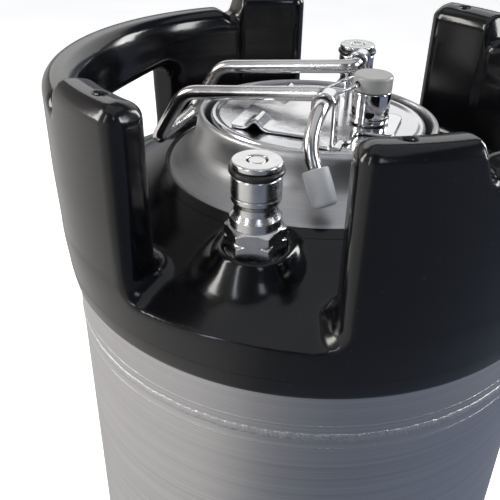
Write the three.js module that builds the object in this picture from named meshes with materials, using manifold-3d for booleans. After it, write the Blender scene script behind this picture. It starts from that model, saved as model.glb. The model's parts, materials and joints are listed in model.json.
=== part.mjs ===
// A 19 litre stainless beverage keg: a welded pressure vessel between two moulded rubber boots, with an
// oval lid held by a wire bail, a relief valve on the lid, and two spring-loaded quick-connect posts.
// Millimetres, +Z up, origin on the floor under the keg's axis. The posts stand on the Y axis, the gas post
// at -Y, and the carrying grips are at +X and -X.
import * as THREE from "three";
import { mergeVertices } from "three/addons/utils/BufferGeometryUtils.js";
import Module from "manifold-3d";

const wasm = await Module();
wasm.setup();

// ---- driving dimensions -------------------------------------------------------------------------------
const KEG_HEIGHT = 635; // floor to the top of the rim pillars
const BODY_R = 108; // outside radius of the steel cylinder
const STEEL = 1.2; // sheet thickness
const GAP = 0.3; // clearance left between pieces that touch
const ROUND = 32; // facets round the big shells
const SEAM = KEG_HEIGHT - 115; // weld between the cylinder and the top head
const LOWER_SEAM = 100; // weld between the cylinder and the bottom head
const DEG = Math.PI / 180;

// the top boot, heights measured up from the upper seam
const BOOT_R = 113; // outside of the wall
const WALL_R = 97; // inside of the wall
const COLLAR_R = 65; // hole in the boot's floor, round the neck
const GRIP_Z = SEAM + 106.5; // top of the grips
const GAP_ANGLE = 20; // half angle of each gap, seen from the axis
const GRIP_ANGLE = 42; // where the pillars end and the grips start
const OPENING_HALF = 43; // half width of a hand opening
const OPENING_TOP = SEAM + 84; // lower edge of the grip at its ends
const GRIP_BELLY = SEAM + 77; // control height of the grip's bowed lower edge

// the neck and the lid, both oval: longer along X than along Y by this much on each side
const OVAL = 6;
const MOUTH_R = 49.5; // inside of the mouth along X
const NECK_TOP = 84; // top of the rolled lip, above the upper seam
const LID_Z = SEAM + 82; // lid's centre panel
const LID_R = 47.2; // outside of the lid's wall
const FLANGE_R = 54.5; // edge of the flange that carries the gasket
const FLANGE_Z = SEAM + 64.8; // top of that flange
const LID_SHEET = 1.8;
const MOUTH_LOW = SEAM + 71.3; // lower edge of the mouth, which the gasket meets
const GASKET_R = 50.6; // centre of the gasket's cord
const GASKET_CORD = 2.9; // radius of the cord

// the posts
const POST_Y = 78.5;
const POST_Z = SEAM + 59.6; // underside of the hexagon
const POST_H = 35;
const POST_R = 9;
const HEX_FLATS = 19.7; // across the flats
const HEX_H = 11.1;
const HEX_TURN = -17; // degrees that the hexagon stands turned from corners on the Y axis
const STUB_R = 7.2; // threaded stub that the post screws on to
const POPPET_R = 3.15;
const FITTING_R = 11; // barrel welded into the head

// the bail: hinge line parallel to Y
const AXLE_X = 10.6;
const AXLE_Z = SEAM + 100;
const WIRE_R = 3;
const ARM_Y = 20;
const FOOT_R = 5.2;
const BEND = 6; // distance from a corner at which the wire starts to bend
const LOOP_NEAR = 26; // the bracket's loops lie between these distances from the lid's middle
const LOOP_FAR = 34;

// the relief valve
const RELIEF_X = 22.8;
const RELIEF_R = 8.3;
const SPIGOT_R = 6; // threaded part that passes through the lid
const RELIEF_Z = SEAM + 84.2; // underside of the body
const CAP_Z = SEAM + 97.6; // underside of the cap
const RING_X = RELIEF_X - 5; // the ring's straight side passes through the cap here
const RING_Z = CAP_Z + 3.1;
const RING_WIRE = 0.75;
const RING_DROOP = 25; // degrees below level at rest

// ---- helpers ------------------------------------------------------------------------------------------
// A closed geometry as a solid with its faces out, whichever way its triangles ran.
function solid(geometry) {
  const bare = geometry.clone();
  bare.deleteAttribute("normal");
  bare.deleteAttribute("uv");
  const merged = mergeVertices(bare, 1e-4);
  const vertProperties = new Float32Array(merged.attributes.position.array);
  const triVerts = new Uint32Array(merged.index.array);
  const made = new wasm.Manifold(new wasm.Mesh({ numProp: 3, vertProperties, triVerts }));
  if (made.volume() > 0) return made;
  for (let i = 0; i < triVerts.length; i += 3) {
    [triVerts[i], triVerts[i + 1]] = [triVerts[i + 1], triVerts[i]];
  }
  return new wasm.Manifold(new wasm.Mesh({ numProp: 3, vertProperties, triVerts }));
}

// A profile of [radius, height] pairs turned about Z. It closes on itself, or starts and ends on the axis.
function turned(profile, facets = ROUND, shift = 0) {
  const onAxis = profile[0][0] === 0 && profile[profile.length - 1][0] === 0;
  const ring = onAxis ? profile : [...profile, profile[0]];
  const points = ring.map(([r, z]) => new THREE.Vector2(r, z + shift));
  return new THREE.LatheGeometry(points, facets).rotateX(Math.PI / 2).scale(1, -1, 1);
}

// How far the oval draws in along Y at a given radius: all of OVAL from the lid's middle to the mouth, and
// nothing where the neck runs out into the round head.
function drawIn(r) {
  const fade = 1 - THREE.MathUtils.smoothstep(r, MOUTH_R + 2, COLLAR_R - 1);
  return OVAL * Math.min(1, r / 30) * fade;
}

function ovalised(geometry) {
  const p = geometry.attributes.position;
  for (let i = 0; i < p.count; i++) {
    const r = Math.hypot(p.getX(i), p.getY(i));
    if (r > 1e-6) p.setY(i, p.getY(i) * (1 - drawIn(r) / r));
  }
  return geometry;
}

// An outline in X and Y, extruded up from height low to height high.
function prism(shape, low, high, curveSegments = 6) {
  const settings = { depth: high - low, bevelEnabled: false, curveSegments };
  return new THREE.ExtrudeGeometry(shape, settings).translate(0, 0, low);
}

function box(x0, x1, y0, y1, z0, z1) {
  const made = new THREE.BoxGeometry(x1 - x0, y1 - y0, z1 - z0);
  return solid(made.translate((x0 + x1) / 2, (y0 + y1) / 2, (z0 + z1) / 2));
}

// A round bar between two heights on a vertical axis, and a round bar along any axis between two points.
function upright(r, low, high, x = 0, y = 0, facets = 20) {
  return solid(turned([[0, low], [r, low], [r, high], [0, high]], facets).translate(x, y, 0));
}

function bar(from, to, r, facets = 12) {
  const along = new THREE.Vector3().subVectors(to, from);
  const made = new THREE.CylinderGeometry(r, r, along.length(), facets);
  const direction = along.clone().normalize();
  const turn = new THREE.Quaternion().setFromUnitVectors(new THREE.Vector3(0, 1, 0), direction);
  const middle = from.clone().addScaledVector(along, 0.5);
  return solid(made.applyQuaternion(turn).translate(middle.x, middle.y, middle.z));
}

// A round bar along Y, centred on the Y axis of its own frame and moved to x and z.
function crossbar(r, length, x, z, facets) {
  return solid(new THREE.CylinderGeometry(r, r, length, facets).translate(x, 0, z));
}

function circle(r, sides) {
  const shape = new THREE.Shape();
  for (let i = 0; i <= sides; i++) {
    const a = (2 * Math.PI * i) / sides;
    shape[i ? "lineTo" : "moveTo"](r * Math.cos(a), r * Math.sin(a));
  }
  return shape;
}

function tube(path, r, sides, steps, bore = 0) {
  const shape = circle(r, sides);
  if (bore) shape.holes.push(circle(bore, sides));
  return new THREE.ExtrudeGeometry(shape, { steps, bevelEnabled: false, extrudePath: path });
}

// Straight runs between corner points, joined by curves that start the given distance from each corner.
function roundedPath(corners, radius) {
  const path = new THREE.CurvePath();
  let from = corners[0];
  for (let i = 1; i < corners.length - 1; i++) {
    const before = corners[i].clone().add(corners[i - 1].clone().sub(corners[i]).setLength(radius));
    const after = corners[i].clone().add(corners[i + 1].clone().sub(corners[i]).setLength(radius));
    path.add(new THREE.LineCurve3(from, before));
    path.add(new THREE.QuadraticBezierCurve3(before, corners[i], after));
    from = after;
  }
  path.add(new THREE.LineCurve3(from, corners[corners.length - 1]));
  return path;
}

class Helix extends THREE.Curve {
  constructor(r, low, high, turns) {
    super();
    Object.assign(this, { r, low, high, turns });
  }
  getPoint(t) {
    const a = 2 * Math.PI * this.turns * t;
    const z = this.low + (this.high - this.low) * t;
    return new THREE.Vector3(this.r * Math.cos(a), this.r * Math.sin(a), z);
  }
}

function spring(r, wire, low, high, turns) {
  return solid(tube(new Helix(r, low + wire, high - wire, turns), wire, 4, turns * 8));
}

function oring(r, cord, z, facets = 18, sides = 6) {
  const profile = [];
  for (let i = 0; i < sides; i++) {
    const a = (2 * Math.PI * i) / sides;
    profile.push([r + cord * Math.cos(a), z + cord * Math.sin(a)]);
  }
  return turned(profile, facets);
}

// A slice of space between two angles about Z, measured from -Y towards +X.
function sector(from, to, low, high) {
  const shape = new THREE.Shape();
  shape.moveTo(0, 0);
  for (let i = 0; i <= 6; i++) {
    const a = (from + ((to - from) * i) / 6) * DEG;
    shape.lineTo(150 * Math.sin(a), -150 * Math.cos(a));
  }
  return solid(prism(shape, low, high));
}

// ---- finishes -----------------------------------------------------------------------------------------
const satinSteel = new THREE.MeshStandardMaterial({ color: 0xb4b5b8, roughness: 0.38, metalness: 1 });
const polishedSteel = new THREE.MeshStandardMaterial({ color: 0xc9cacc, roughness: 0.12, metalness: 1 });
const blackRubber = new THREE.MeshStandardMaterial({ color: 0x16171a, roughness: 0.3, metalness: 0 });
const sealRubber = new THREE.MeshStandardMaterial({ color: 0x0c0c0d, roughness: 0.45, metalness: 0 });
const greyRubber = new THREE.MeshStandardMaterial({ color: 0x8f959b, roughness: 0.55, metalness: 0 });
const greyPlastic = new THREE.MeshStandardMaterial({ color: 0xa3a5a6, roughness: 0.4, metalness: 0 });

const keg = new THREE.Group();

function add(name, shape, material) {
  const made = shape.isBufferGeometry ? solid(shape) : shape;
  const mesh = made.getMesh();
  const geometry = new THREE.BufferGeometry();
  geometry.setAttribute("position", new THREE.BufferAttribute(mesh.vertProperties, mesh.numProp));
  geometry.setIndex(new THREE.BufferAttribute(mesh.triVerts, 1));
  geometry.computeVertexNormals();
  const piece = new THREE.Mesh(geometry, material);
  piece.name = name;
  keg.add(piece);
}

// ---- pressure vessel ----------------------------------------------------------------------------------
// Outside of the head from the neck to the seam, and the same line inside the sheet.
const HEAD_OUTSIDE = [
  [52.3, NECK_TOP - 1], [53, 76], [54.6, 71], [58.5, 66.5], [65, 62.8], [74, 56], [82, 50.5], [90, 45],
  [97, 39.5], [103, 33], [107, 26], [108, 19], [108, GAP],
];
const HEAD_INSIDE = [
  [106.8, GAP], [106.8, 19], [102, 32.4], [96.1, 38.4], [81.2, 49.3], [64.3, 61.3], [56, 65.9],
  [52.2, MOUTH_LOW - SEAM],
];

function topHead() {
  const lip = [[MOUTH_R, MOUTH_LOW - SEAM], [MOUTH_R, NECK_TOP - 1.2], [50.2, NECK_TOP], [51.4, NECK_TOP]];
  const shell = solid(ovalised(turned([...lip, ...HEAD_OUTSIDE, ...HEAD_INSIDE], ROUND, SEAM)));
  const hole = (y) => upright(FITTING_R + GAP, SEAM + 40, SEAM + 80, 0, y);
  return shell.subtract(hole(-POST_Y)).subtract(hole(POST_Y));
}

// The cylinder carries the low weld bead at each end.
function bodyShell() {
  const rise = BODY_R + 0.35;
  const bead = [[BODY_R, 0], [rise, 0.8], [rise, 2.6], [BODY_R, 3.4]];
  const lower = bead.map(([r, z]) => [r, LOWER_SEAM + z]);
  const upper = bead.map(([r, z]) => [r, SEAM - z]).reverse();
  const inside = BODY_R - STEEL;
  return turned([...lower, ...upper, [inside, SEAM], [inside, LOWER_SEAM]]);
}

// The bottom head, heights above the floor: a shallow dish with a tight knuckle. The inside line follows the
// sheet, straight up over the dish and straight in beside the skirt.
const BOTTOM_OUTSIDE = [
  [0, 11], [45, 13], [74, 19.5], [92, 28.5], [103, 42], [BODY_R, 63], [BODY_R, LOWER_SEAM - GAP],
];

function bottomHead() {
  const inside = BOTTOM_OUTSIDE.map(([r, z], i) => {
    if (r === 0) return [0, z + STEEL];
    const steep = THREE.MathUtils.smoothstep(i, 1, 4);
    const rise = i === BOTTOM_OUTSIDE.length - 1 ? 0 : STEEL * (1 - steep);
    return [r - STEEL * steep, z + rise];
  });
  return turned([...BOTTOM_OUTSIDE, ...inside.reverse()]);
}

add("body_shell", bodyShell(), satinSteel);
add("top_head", topHead(), satinSteel);
add("bottom_head", bottomHead(), satinSteel);

// ---- boots --------------------------------------------------------------------------------------------
// Floor of the top boot, from the collar hole out to the sill.
const FLOOR = [[COLLAR_R, 64.6], [74, 58.7], [82, 53.7], [90, 49.6], [WALL_R, 46.7], [111.5, 42]];

// The top boot as one turned blank, from which the gaps, the grips' lower tops and the hand openings are cut.
function topBoot() {
  const outside = [[109.3, 20], [110.6, 26], [112, 42], [BOOT_R, 72], [BOOT_R, 112], [110.5, 115]];
  const inside = [[99.5, 115], [WALL_R, 112], ...FLOOR.slice(0, -1).reverse(), [COLLAR_R, 63.2]];
  const under = [[74.2, 56.3], [82.2, 50.8], [90.2, 45.3], [97.3, 39.7], [103.3, 33.1], [107.4, 26]];
  const blank = solid(turned([...outside, ...inside, ...under, [BODY_R + 0.4, 20]], ROUND, SEAM));
  const floor = solid(turned([...FLOOR, [130, 42], [130, 0], [COLLAR_R, 0]], ROUND, SEAM));
  let made = blank;
  for (const side of [1, -1]) {
    const middle = side > 0 ? 0 : 180;
    const gap = sector(middle - GAP_ANGLE, middle + GAP_ANGLE, SEAM + 30, KEG_HEIGHT + 5);
    made = made.subtract(gap.subtract(floor));
    made = made.subtract(sector(side * GRIP_ANGLE, side * (180 - GRIP_ANGLE), GRIP_Z, KEG_HEIGHT + 5));
    made = made.subtract(handOpening(side).subtract(floor));
  }
  for (const post of [-POST_Y, POST_Y]) {
    made = made.add(postBoss(post).subtract(headBlank()));
    made = made.subtract(upright(FITTING_R + 0.9, POST_Z - 0.2, POST_Z + 40, 0, post));
    made = made.subtract(upright(FITTING_R + 0.4, SEAM + 40, SEAM + 80, 0, post));
  }
  return made;
}

// The hand opening below one grip, with rounded ends and a bowed upper edge.
function handOpening(side) {
  const r = 9;
  const low = SEAM + 38;
  const shape = new THREE.Shape();
  shape.moveTo(-OPENING_HALF, low);
  shape.lineTo(OPENING_HALF, low);
  shape.lineTo(OPENING_HALF, OPENING_TOP - r);
  shape.quadraticCurveTo(OPENING_HALF, OPENING_TOP, OPENING_HALF - r, OPENING_TOP);
  shape.quadraticCurveTo(0, GRIP_BELLY - 2, r - OPENING_HALF, OPENING_TOP);
  shape.quadraticCurveTo(-OPENING_HALF, OPENING_TOP, -OPENING_HALF, OPENING_TOP - r);
  const made = prism(shape, 88, 120, 4).rotateX(Math.PI / 2).rotateZ(Math.PI / 2);
  return solid(side > 0 ? made : made.rotateZ(Math.PI));
}

// The raised seat round a post: level on top and flaring down to the boot's sill.
function postBoss(y) {
  const flare = [[30.5, 36], [26.5, 40.5], [22, 44.5], [18.5, 50.4], [14.1, 58.6], [13.9, 61]];
  const seat = solid(turned([[0, 36], ...flare, [0, 61]], 28, SEAM).translate(0, y, 0));
  return seat.intersect(upright(110.5, SEAM + 38, SEAM + 70, 0, 0, 40));
}

// Everything under the boot's rubber, which the bosses stay clear of.
function headBlank() {
  const line = HEAD_OUTSIDE.slice(4).map(([r, z]) => [r + 0.3, z + 0.4]);
  return solid(turned([[0, 66.5], [60, 66], ...line, [0, GAP]], ROUND, SEAM));
}

// The bottom boot: a thick ring under the bottom head's knuckle, with four drain slots across its base.
function bottomBoot() {
  const wall = BODY_R + GAP;
  const inside = [[wall, 66], [wall, 63], [103.4, 41.6], [92.4, 28], [84, 23], [84, 2], [86, 0]];
  const outside = [[107, 0], [109.8, 1.4], [111.2, 5], [111.2, 30], [110.6, 60], [109.4, 66]];
  let made = solid(turned([...inside, ...outside]));
  for (let i = 0; i < 4; i++) made = made.subtract(box(80, 104, -3, 3, -1, 4).rotate([0, 0, 45 + 90 * i]));
  return made;
}

add("top_boot", topBoot(), blackRubber);
add("bottom_boot", bottomBoot(), blackRubber);

// ---- posts --------------------------------------------------------------------------------------------
// Heights in this section are measured up from the underside of the hexagon.
const FLANGE_LOW = 10.2;
const POPPET_SEAT = 25;

function post(notched) {
  const corner = HEX_FLATS / Math.sqrt(3);
  const hexagon = new THREE.CylinderGeometry(corner, corner, HEX_H, 6).rotateX(Math.PI / 2);
  const chamfer = [[0, 0], [10, 0], [11.3, 1.2], [11.3, 9.4], [9.7, HEX_H], [0, HEX_H]];
  let nut = solid(hexagon.translate(0, 0, HEX_H / 2)).intersect(solid(turned(chamfer, 20)));
  for (let i = 0; notched && i < 6; i++) {
    const a = 60 * i + 30;
    const nick = new THREE.CylinderGeometry(1.5, 1.5, 6, 4).translate(corner, 0, 6);
    nut = nut.subtract(solid(nick).rotate([0, 0, a]));
  }
  const shank = [
    [0, 11], [9.2, HEX_H], [9.2, 14], [7.8, 17], [7.7, 19.2], [POST_R, 20.6], [POST_R, 29.9], [7.2, 30.2],
    [7.2, 32.6], [8.8, 32.8], [8.9, 34.2], [8.1, POST_H], [0, POST_H],
  ];
  const bore = [
    [0, -1], [7.5, -1], [7.5, 11.6], [6, 11.6], [6, POPPET_SEAT], [3.5, POPPET_SEAT + 1], [3.5, 36], [0, 36],
  ];
  return nut.rotate([0, 0, HEX_TURN]).add(solid(turned(shank, 20))).subtract(solid(turned(bore, 16)));
}

// The stub welded into the head: a plain barrel through the sheet and a threaded top for the post.
function fitting() {
  return turned([[5, -17], [FITTING_R, -17], [FITTING_R, -GAP], [STUB_R, -GAP], [STUB_R, 8], [5, 8]], 16);
}

function poppet() {
  const pin = [[POPPET_R, 23.4], [POPPET_R, 34.4], [2.8, 34.8], [0, 34.8]];
  return turned([[0, 20], [2, 20], [2, 21.6], [5, 21.6], [5, 23.2], ...pin], 12);
}

// A dip tube hangs from its flange on top of the stub. Points are [y, z], with y towards the keg's axis.
function dipTube(points) {
  const route = points.map(([y, z]) => new THREE.Vector3(0, y, z));
  const stem = solid(tube(roundedPath(route, 8), 3.9, 8, points.length > 2 ? 22 : 1, 2.9));
  const flange = turned([[3.2, FLANGE_LOW], [6.6, FLANGE_LOW], [6.6, 11.3], [3.2, 11.3]], 16);
  return stem.add(solid(flange));
}

// The gas tube stops just inside the head. The liquid tube sweeps down to the middle of the bottom head.
const DISH_Z = 16 - POST_Z;
const DIP_ROUTES = {
  gas: [[0, 11.2], [0, -38]],
  liquid: [[0, 11.2], [0, DISH_Z + 60], [22, DISH_Z + 34], [58, DISH_Z + 6], [66, DISH_Z + 2.5]],
};

for (const [name, y, turn] of [["gas", -POST_Y, 0], ["liquid", POST_Y, 180]]) {
  const place = (shape) => {
    const made = shape.isBufferGeometry ? solid(shape) : shape;
    return made.rotate([0, 0, turn]).translate([0, y, POST_Z]);
  };
  add(`${name}_fitting`, place(fitting()), satinSteel);
  add(`${name}_dip_tube`, place(dipTube(DIP_ROUTES[name])), satinSteel);
  add(`${name}_dip_tube_seal`, place(oring(5.1, 0.85, 9.1, 12, 4)), sealRubber);
  add(`${name}_post`, place(post(name === "gas")), polishedSteel);
  add(`${name}_post_oring`, place(oring(8.65, 1.15, 31.4, 18, 5)), sealRubber);
  add(`${name}_poppet`, place(poppet()), polishedSteel);
  const washer = turned([[3.45, 23.6], [5, 23.6], [5, 24.4], [3.45, 24.8]], 12);
  add(`${name}_poppet_seal`, place(washer), sealRubber);
  add(`${name}_poppet_spring`, place(spring(4.2, 0.5, 11.6, 21.3, 4)), polishedSteel);
}

// ---- lid ----------------------------------------------------------------------------------------------
// The lid: a pressed dish whose wall passes down through the mouth to an outward flange.
function lid() {
  const over = [
    [0, LID_Z], [43.4, LID_Z], [44.3, LID_Z + 1], [46.2, LID_Z + 1.2], [LID_R, LID_Z - 0.4],
    [LID_R, FLANGE_Z + 1.7], [LID_R + 1.2, FLANGE_Z], [FLANGE_R, FLANGE_Z],
  ];
  const within = LID_R - 1.6;
  const under = [
    [FLANGE_R, FLANGE_Z - 1.5], [LID_R - 0.2, FLANGE_Z - 1.5], [within, FLANGE_Z + 0.7],
    [within, LID_Z - LID_SHEET], [0, LID_Z - LID_SHEET],
  ];
  const hole = upright(SPIGOT_R + GAP, SEAM + 70, SEAM + 90, RELIEF_X, 0, 16);
  return solid(ovalised(turned([...over, ...under]))).subtract(hole);
}

// The spring plate on the lid: it clamps under the relief valve and rises in two loops over the hinge wire.
function bailBracket() {
  const low = LID_Z + GAP;
  const high = low + 1.2;
  const inner = WIRE_R + 0.5;
  const outer = inner + 1.3;
  const width = LOOP_FAR - LOOP_NEAR;
  const centre = (LOOP_NEAR + LOOP_FAR) / 2;
  const crown = crossbar(outer, width, AXLE_X, AXLE_Z, 16);
  const legs = box(AXLE_X - outer, AXLE_X + outer, -width / 2, width / 2, low, AXLE_Z);
  const slot = box(AXLE_X - inner, AXLE_X + inner, -width, width, low - 1, AXLE_Z);
  const hollow = crossbar(inner, 40, AXLE_X, AXLE_Z, 16);
  const loop = legs.add(crown).subtract(slot).subtract(hollow);
  const tab = box(3, 18.2, -centre + 25, width / 2, low, high);
  const rib = crossbar(4, 12, -19.5, 0, 12).subtract(crossbar(2.8, 20, -19.5, 0, 12));
  const bead = rib.intersect(box(-30, 0, -6, 6, 0, 6)).translate([0, 19, high - 0.2]);
  let plate = box(-31, 36, -13, 13, low, high).add(box(-30, 21, -LOOP_NEAR, LOOP_NEAR, low, high));
  for (const side of [1, -1]) {
    const half = loop.add(tab).translate([0, centre, 0]).add(bead);
    plate = plate.add(side > 0 ? half : half.mirror([0, 1, 0]));
  }
  return plate.subtract(upright(SPIGOT_R + GAP + 0.1, low - 1, high + 1, RELIEF_X, 0, 16));
}

function gasket() {
  return ovalised(oring(GASKET_R, GASKET_CORD, MOUTH_LOW - GAP - GASKET_CORD, ROUND, 6));
}

add("lid", lid(), polishedSteel);
add("lid_gasket", gasket(), sealRubber);
add("bail_bracket", bailBracket(), polishedSteel);

// ---- bail ---------------------------------------------------------------------------------------------
// One wire: foot, leg, short hinge run, arm, bent-down tip, and the same back to the other foot.
const FOOT_LOW = new THREE.Vector3(20.4, -59.4, SEAM + 71); // centre of a foot's underside
const FOOT_HIGH = new THREE.Vector3(14.2, -54.2, SEAM + 82.6);

function bailWire() {
  const half = [
    FOOT_HIGH.clone().lerp(FOOT_LOW, 0.55),
    FOOT_HIGH.clone().lerp(FOOT_LOW, -0.6),
    new THREE.Vector3(AXLE_X, -41, AXLE_Z),
    new THREE.Vector3(AXLE_X, -ARM_Y, AXLE_Z),
    new THREE.Vector3(-53.5, -ARM_Y, SEAM + 92.4),
    new THREE.Vector3(-68, -ARM_Y, SEAM + 68.5),
  ];
  const other = half.map((v) => new THREE.Vector3(v.x, -v.y, v.z)).reverse();
  return tube(roundedPath([...half, ...other], BEND), WIRE_R, 8, 52);
}

function foot(side) {
  const flip = new THREE.Vector3(1, side, 1);
  const low = FOOT_LOW.clone().multiply(flip);
  const high = FOOT_HIGH.clone().multiply(flip);
  const socket = high.clone().lerp(low, 0.58);
  const beyond = high.clone().lerp(low, -0.5);
  return bar(high, low, FOOT_R, 14).subtract(bar(beyond, socket, WIRE_R + GAP + 0.25, 12));
}

add("bail_wire", bailWire(), polishedSteel);
add("gas_side_foot", foot(1), greyRubber);
add("liquid_side_foot", foot(-1), greyRubber);

// ---- relief valve -------------------------------------------------------------------------------------
// Heights are measured up from the underside of the valve's body, which sits on the bail bracket.
const BODY_H = 13.1;
const VENT_Z = 4.6; // centre of the cross holes

function reliefBody() {
  const spigot = [[0, -11], [SPIGOT_R, -11], [SPIGOT_R, 0]];
  const outer = turned([...spigot, [RELIEF_R, 0], [RELIEF_R, BODY_H], [0, BODY_H]], 18);
  const chamber = turned([[0, 2.2], [6.5, 2.2], [6.5, 11.4], [0, 11.4]], 12);
  const through = turned([[0, -12], [3, -12], [3, 8], [2.6, 8], [2.6, 14], [0, 14]], 12);
  let made = solid(outer).subtract(solid(chamber)).subtract(solid(through));
  for (const angle of [40, 100, 160]) {
    const a = angle * DEG;
    const reach = new THREE.Vector3(12 * Math.cos(a), 12 * Math.sin(a), 0);
    made = made.subtract(bar(reach.clone().setZ(VENT_Z), reach.clone().negate().setZ(VENT_Z), 1.8, 8));
  }
  return made;
}

function reliefCap() {
  const cup = turned([[0, 0], [7.9, 0], [RELIEF_R, 0.8], [RELIEF_R, 5.4], [7.5, 6.4], [0, 6.4]], 24);
  const cross = crossbar(RING_WIRE + 0.5, 30, RING_X - RELIEF_X, RING_Z - CAP_Z, 10);
  return solid(cup).subtract(cross).subtract(upright(2.3, -1, 4, 0, 0, 12));
}

// A D-shaped ring whose straight side passes through the cap, drooping away from it towards -X.
function pullRing() {
  const droop = RING_DROOP * DEG;
  const at = (out, y) => new THREE.Vector3(RING_X - out * Math.cos(droop), y, RING_Z - out * Math.sin(droop));
  const half = [at(0, 0.6), at(0, 9.8), at(10, 10.5), at(19.5, 5)];
  const other = half.map((v) => new THREE.Vector3(v.x, -v.y, v.z)).reverse();
  return tube(roundedPath([...half, ...other], 2.2), RING_WIRE, 5, 30);
}

function onLid(profile, facets) {
  return turned(profile, facets).translate(RELIEF_X, 0, RELIEF_Z);
}

const nutProfile = [[7.4, -7.8], [10.5, -7.8], [10.5, -4.4], [7.4, -4.4]];
const sealProfile = [[0, 2.5], [5.2, 2.5], [5.2, 4.3], [0, 4.3]];
const stemProfile = [[0, 4.6], [5.4, 4.6], [5.4, 5.8], [2, 6], [2, 17], [0, 17]];
const coil = tube(new Helix(4, 6.6, 10.9, 3), 0.4, 4, 24).translate(RELIEF_X, 0, RELIEF_Z);
add("relief_body", reliefBody().translate([RELIEF_X, 0, RELIEF_Z]), polishedSteel);
add("relief_nut", onLid(nutProfile, 6), satinSteel);
add("relief_seal", onLid(sealProfile, 14), sealRubber);
add("relief_stem", onLid(stemProfile, 12), polishedSteel);
add("relief_spring", coil, polishedSteel);
add("relief_cap", reliefCap().translate([RELIEF_X, 0, CAP_Z]), greyPlastic);
add("relief_pull_ring", pullRing(), polishedSteel);

export default keg;
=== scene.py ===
"""The looks of a 19 litre beverage keg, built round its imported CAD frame.

Shapes are worked out in millimetres and turned into metres as their meshes are made. Moulded and machined
pieces come from signed distance fields or turned profiles, and bent wire from rounded centre lines.
"""
import json
import math

import bpy
import numpy as np
import openvdb
from mathutils import Matrix, Vector


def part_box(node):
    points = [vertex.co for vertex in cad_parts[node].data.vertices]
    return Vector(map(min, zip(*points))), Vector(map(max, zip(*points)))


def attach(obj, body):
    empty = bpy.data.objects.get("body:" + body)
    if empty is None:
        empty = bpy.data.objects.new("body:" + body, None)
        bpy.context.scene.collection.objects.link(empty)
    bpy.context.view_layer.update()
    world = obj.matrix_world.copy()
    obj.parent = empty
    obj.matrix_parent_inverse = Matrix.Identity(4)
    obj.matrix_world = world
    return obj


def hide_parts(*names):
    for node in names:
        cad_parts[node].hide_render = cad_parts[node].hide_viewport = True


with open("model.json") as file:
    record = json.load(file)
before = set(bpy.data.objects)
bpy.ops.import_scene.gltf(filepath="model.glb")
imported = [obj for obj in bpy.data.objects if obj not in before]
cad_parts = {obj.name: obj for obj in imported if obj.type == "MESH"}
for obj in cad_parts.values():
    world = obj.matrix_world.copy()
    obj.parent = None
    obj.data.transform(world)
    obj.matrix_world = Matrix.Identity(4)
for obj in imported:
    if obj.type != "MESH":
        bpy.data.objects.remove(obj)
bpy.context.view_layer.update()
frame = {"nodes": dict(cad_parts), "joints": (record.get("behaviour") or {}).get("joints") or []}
MM = 0.001


def low(node):
    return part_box(node)[0] / MM


def high(node):
    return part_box(node)[1] / MM


def middle(node):
    return (low(node) + high(node)) / 2


# ---- places taken from the frame, in millimetres --------------------------------------------------------
SEAM = high("body_shell").z
LOWER_SEAM = low("body_shell").z
BODY_R = high("top_head").x
TOP = high("top_boot").z
LIP_Z = low("top_boot").z
BOOT_R = high("top_boot").x
SILL_R = high("top_boot").y
BOTTOM_BOOT_R = high("bottom_boot").x
BOTTOM_BOOT_TOP = high("bottom_boot").z
POST_Y = middle("liquid_post").y
POST_Z = low("gas_post").z
POST_TOP = high("gas_post").z
LID_TOP = high("lid").z
RELIEF_X = middle("relief_cap").x
RELIEF_Z = high("lid").z + 1
CAP_Z = low("relief_cap").z
CAP_TOP = high("relief_cap").z
CAP_R = (high("relief_cap").x - low("relief_cap").x) / 2
AXLE = Vector(next(j for j in frame["joints"] if j["name"] == "bail_swing")["pos_m"]) / MM
RING_PIVOT = Vector(next(j for j in frame["joints"] if j["name"] == "ring_swing")["pos_m"]) / MM

# ---- sizes of the moulded and pressed shapes ------------------------------------------------------------
COLLAR_R = 65  # where the boot's floor meets the steel neck
GAP_ANGLE = math.radians(20)
GRIP_ANGLE = math.radians(42)
GRIP_Z = SEAM + 106.7
PILLAR_WALL_R = 95.8
GRIP_WALL_R = 97.6
WIRE_R = 3.0
MOUTH_R = 49.5
OVAL = 6
LIP_INNER_R = 107.4
POST_HOLE_R = 11.3
POST_SEAT_R = 11.6
OPENING_HALF = 43.5
OPENING_TOP = 84
VENT_ANGLE = math.radians(28.5)
VENT_FROM_AXIS = 104
VENT_R = 2.3
LOOP_Y = 30  # middle of each of the bracket's loops
PLATE_LOW = LID_TOP - 0.9
SHEET_HALF = 0.62  # half the bracket's sheet thickness


# ---- signed distances: negative inside, rounded joins and cuts --------------------------------------------
def meet(a, b, radius):
    """What is inside both, with the shared edge rounded off."""
    corner = np.hypot(np.maximum(radius + a, 0), np.maximum(radius + b, 0))
    return np.minimum(-radius, np.maximum(a, b)) + corner


def join(a, b, radius):
    """What is inside either, with a fillet in the shared corner."""
    corner = np.hypot(np.maximum(radius - a, 0), np.maximum(radius - b, 0))
    return np.maximum(radius, np.minimum(a, b)) - corner


def cut(a, b, radius):
    return meet(a, -b, radius)


def ease(x, start, end):
    t = np.clip((x - start) / (end - start), 0, 1)
    return t * t * (3 - 2 * t)


def curve_height(r, points):
    """A smooth line through (radius, height) points, and its factor for turning height into distance."""
    xs, zs = np.array(points, float).T
    z = (np.interp(r - 2.5, xs, zs) + np.interp(r, xs, zs) + np.interp(r + 2.5, xs, zs)) / 3
    slope = (np.interp(r + 1.5, xs, zs) - np.interp(r - 1.5, xs, zs)) / 3
    return z, 1 / np.sqrt(1 + slope**2)


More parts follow.
